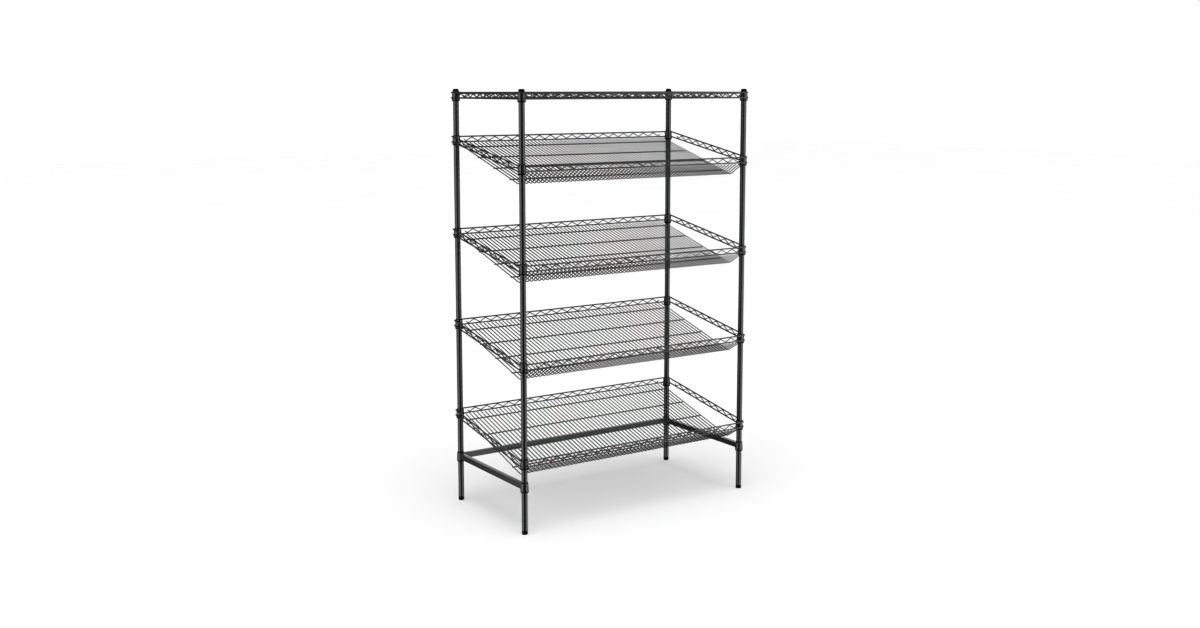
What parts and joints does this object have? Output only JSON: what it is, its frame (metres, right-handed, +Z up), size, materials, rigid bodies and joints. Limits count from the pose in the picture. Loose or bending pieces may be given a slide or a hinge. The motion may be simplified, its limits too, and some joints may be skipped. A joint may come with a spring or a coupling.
{
  "type": "wire shelving rack",
  "caption": "Freestanding wire shelving rack: round posts on levelling feet carry slanted wire shelves with a front lip, a flat wire top shelf and a three-sided tube base frame.",
  "frame": {"origin": "on the floor, at the centre of the four feet", "axes": "+Z up the posts, -Y to the open low side of the shelves (the front), +X to the right seen from the front"},
  "size_m": [1.2334, 0.6282, 1.8986],
  "materials": {
    "coated_steel": "semi-gloss black epoxy coat",
    "black_plastic": "satin moulded black"
  },
  "bodies": {
    "uprights": {"post_front_left": "coated_steel", "post_front_right": "coated_steel", "post_rear_left": "coated_steel", "post_rear_right": "coated_steel", "cap_front_left": "black_plastic", "cap_front_right": "black_plastic", "cap_rear_left": "black_plastic", "cap_rear_right": "black_plastic", "sleeve_base_front_left": "black_plastic", "sleeve_base_front_right": "black_plastic", "sleeve_base_rear_left": "black_plastic", "sleeve_base_rear_right": "black_plastic", "sleeve_shelf_1_front_left": "black_plastic", "sleeve_shelf_1_front_right": "black_plastic", "sleeve_shelf_1_rear_left": "black_plastic", "sleeve_shelf_1_rear_right": "black_plastic", "sleeve_shelf_2_front_left": "black_plastic", "sleeve_shelf_2_front_right": "black_plastic", "sleeve_shelf_2_rear_left": "black_plastic", "sleeve_shelf_2_rear_right": "black_plastic", "sleeve_shelf_3_front_left": "black_plastic", "sleeve_shelf_3_front_right": "black_plastic", "sleeve_shelf_3_rear_left": "black_plastic", "sleeve_shelf_3_rear_right": "black_plastic", "sleeve_shelf_4_front_left": "black_plastic", "sleeve_shelf_4_front_right": "black_plastic", "sleeve_shelf_4_rear_left": "black_plastic", "sleeve_shelf_4_rear_right": "black_plastic", "sleeve_top_front_left": "black_plastic", "sleeve_top_front_right": "black_plastic", "sleeve_top_rear_left": "black_plastic", "sleeve_top_rear_right": "black_plastic"},
    "levelling_foot_front_left": {"foot_front_left": "black_plastic"},
    "levelling_foot_front_right": {"foot_front_right": "black_plastic"},
    "levelling_foot_rear_left": {"foot_rear_left": "black_plastic"},
    "levelling_foot_rear_right": {"foot_rear_right": "black_plastic"},
    "base_frame": {"base_frame": "coated_steel"},
    "shelf_1": {"shelf_1_deck": "coated_steel", "shelf_1_front_truss": "coated_steel", "shelf_1_rear_truss": "coated_steel", "shelf_1_left_side": "coated_steel", "shelf_1_right_side": "coated_steel"},
    "shelf_2": {"shelf_2_deck": "coated_steel", "shelf_2_front_truss": "coated_steel", "shelf_2_rear_truss": "coated_steel", "shelf_2_left_side": "coated_steel", "shelf_2_right_side": "coated_steel"},
    "shelf_3": {"shelf_3_deck": "coated_steel", "shelf_3_front_truss": "coated_steel", "shelf_3_rear_truss": "coated_steel", "shelf_3_left_side": "coated_steel", "shelf_3_right_side": "coated_steel"},
    "shelf_4": {"shelf_4_deck": "coated_steel", "shelf_4_front_truss": "coated_steel", "shelf_4_rear_truss": "coated_steel", "shelf_4_left_side": "coated_steel", "shelf_4_right_side": "coated_steel"},
    "top_shelf": {"top_shelf_deck": "coated_steel", "top_shelf_front_truss": "coated_steel", "top_shelf_rear_truss": "coated_steel"}
  },
  "joints": [
    {"name": "foot_front_left_extend", "type": "slide", "parent": "uprights", "child": "levelling_foot_front_left", "axis": [0, 0, -1], "range_m": [0, 0.018]},
    {"name": "foot_front_right_extend", "type": "slide", "parent": "uprights", "child": "levelling_foot_front_right", "axis": [0, 0, -1], "range_m": [0, 0.018]},
    {"name": "foot_rear_left_extend", "type": "slide", "parent": "uprights", "child": "levelling_foot_rear_left", "axis": [0, 0, -1], "range_m": [0, 0.018]},
    {"name": "foot_rear_right_extend", "type": "slide", "parent": "uprights", "child": "levelling_foot_rear_right", "axis": [0, 0, -1], "range_m": [0, 0.018]},
    {"name": "base_frame_lift", "type": "slide", "parent": "uprights", "child": "base_frame", "axis": [0, 0, 1], "range_m": [0, 0.03]},
    {"name": "shelf_1_lift", "type": "slide", "parent": "uprights", "child": "shelf_1", "axis": [0, 0, 1], "range_m": [0, 0.375]},
    {"name": "shelf_2_lift", "type": "slide", "parent": "uprights", "child": "shelf_2", "axis": [0, 0, 1], "range_m": [0, 0.375]},
    {"name": "shelf_3_lift", "type": "slide", "parent": "uprights", "child": "shelf_3", "axis": [0, 0, 1], "range_m": [0, 0.375]},
    {"name": "shelf_4_lift", "type": "slide", "parent": "uprights", "child": "shelf_4", "axis": [0, 0, 1], "range_m": [0, 0.15]},
    {"name": "top_shelf_lift", "type": "slide", "parent": "uprights", "child": "top_shelf", "axis": [0, 0, 1], "range_m": [0, 0.08]}
  ]
}
